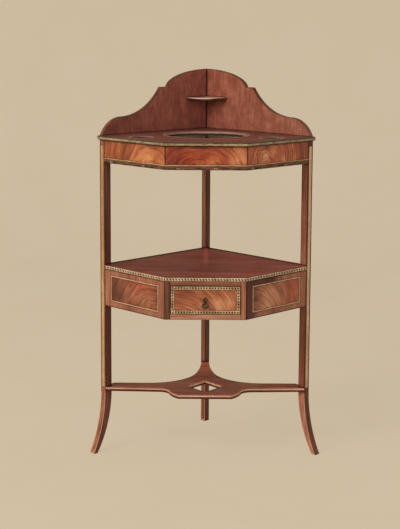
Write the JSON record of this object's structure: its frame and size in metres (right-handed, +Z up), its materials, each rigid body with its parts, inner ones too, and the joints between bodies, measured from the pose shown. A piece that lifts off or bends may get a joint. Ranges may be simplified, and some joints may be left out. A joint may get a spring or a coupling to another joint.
{
  "type": "corner washstand",
  "caption": "Corner washstand: holed top with scalloped splashboards and soap shelf, middle shelf over a drawer with drop pull, sabre front legs and pierced stretcher.",
  "frame": {"origin": "on the floor, under the middle of the stand's bounding box", "axes": "+X to the right seen from the front, +Y back towards the room's corner, +Z up"},
  "size_m": [0.6294, 0.4864, 1.0385],
  "materials": {
    "leg_mahogany": "polished dark mahogany, red-brown",
    "stretcher_mahogany": "polished mahogany",
    "satinwood": "pale golden satinwood inlay, polished",
    "chequer_banding": "chequered dark and pale banding, polished",
    "top_mahogany": "polished plain mahogany",
    "edging": "pale fruitwood half-round edging, polished",
    "splash_mahogany": "polished mahogany, fine straight grain",
    "flame_veneer": "polished crotch mahogany veneer, flame figure",
    "carcase_mahogany": "polished mahogany",
    "pine": "bare softwood",
    "drawer_oak": "bare oak",
    "screw_steel": "dull steel",
    "pull_brass": "aged lacquered brass"
  },
  "bodies": {
    "frame": {"left_front_leg": "leg_mahogany", "right_front_leg": "leg_mahogany", "back_leg": "leg_mahogany", "stretcher": "stretcher_mahogany", "left_leg_strip": "satinwood", "right_leg_strip": "satinwood", "apron_line": "satinwood", "left_stringing": "satinwood", "right_stringing": "satinwood", "apron_banding": "chequer_banding", "shelf_banding": "chequer_banding", "top_board": "top_mahogany", "shelf_board": "top_mahogany", "left_nosing": "edging", "front_nosing": "edging", "right_nosing": "edging", "left_splashboard": "splash_mahogany", "right_splashboard": "splash_mahogany", "corner_shelf": "splash_mahogany", "left_apron": "flame_veneer", "front_apron": "flame_veneer", "right_apron": "flame_veneer", "left_case_side": "flame_veneer", "right_case_side": "flame_veneer", "left_top_rail": "carcase_mahogany", "right_top_rail": "carcase_mahogany", "left_case_back": "carcase_mahogany", "right_case_back": "carcase_mahogany", "left_stile": "carcase_mahogany", "right_stile": "carcase_mahogany", "drawer_top_rail": "carcase_mahogany", "drawer_bottom_rail": "carcase_mahogany", "splashboard_dowels": "pine", "apron_corner_blocks": "pine", "top_glue_blocks": "pine", "case_bottom": "pine", "drawer_runners": "pine", "drawer_guides": "pine", "drawer_kickers": "pine", "drawer_stops": "pine", "top_screws": "screw_steel"},
    "drawer": {"drawer_front": "flame_veneer", "drawer_banding": "chequer_banding", "drawer_left_side": "drawer_oak", "drawer_right_side": "drawer_oak", "drawer_back": "drawer_oak", "drawer_bottom": "drawer_oak", "pull_rose": "pull_brass", "pull_post": "pull_brass", "pull_pin": "pull_brass", "pull_nut": "pull_brass"},
    "pull": {"pull_drop": "pull_brass"}
  },
  "joints": [
    {"name": "drawer_slide", "type": "slide", "parent": "frame", "child": "drawer", "axis": [0, -1, 0], "range_m": [0, 0.19]},
    {"name": "pull_swing", "type": "hinge", "parent": "drawer", "child": "pull", "pos_m": [0, -0.23371, 0.4618], "axis": [-1, 0, 0], "range_deg": [-5, 90]}
  ]
}
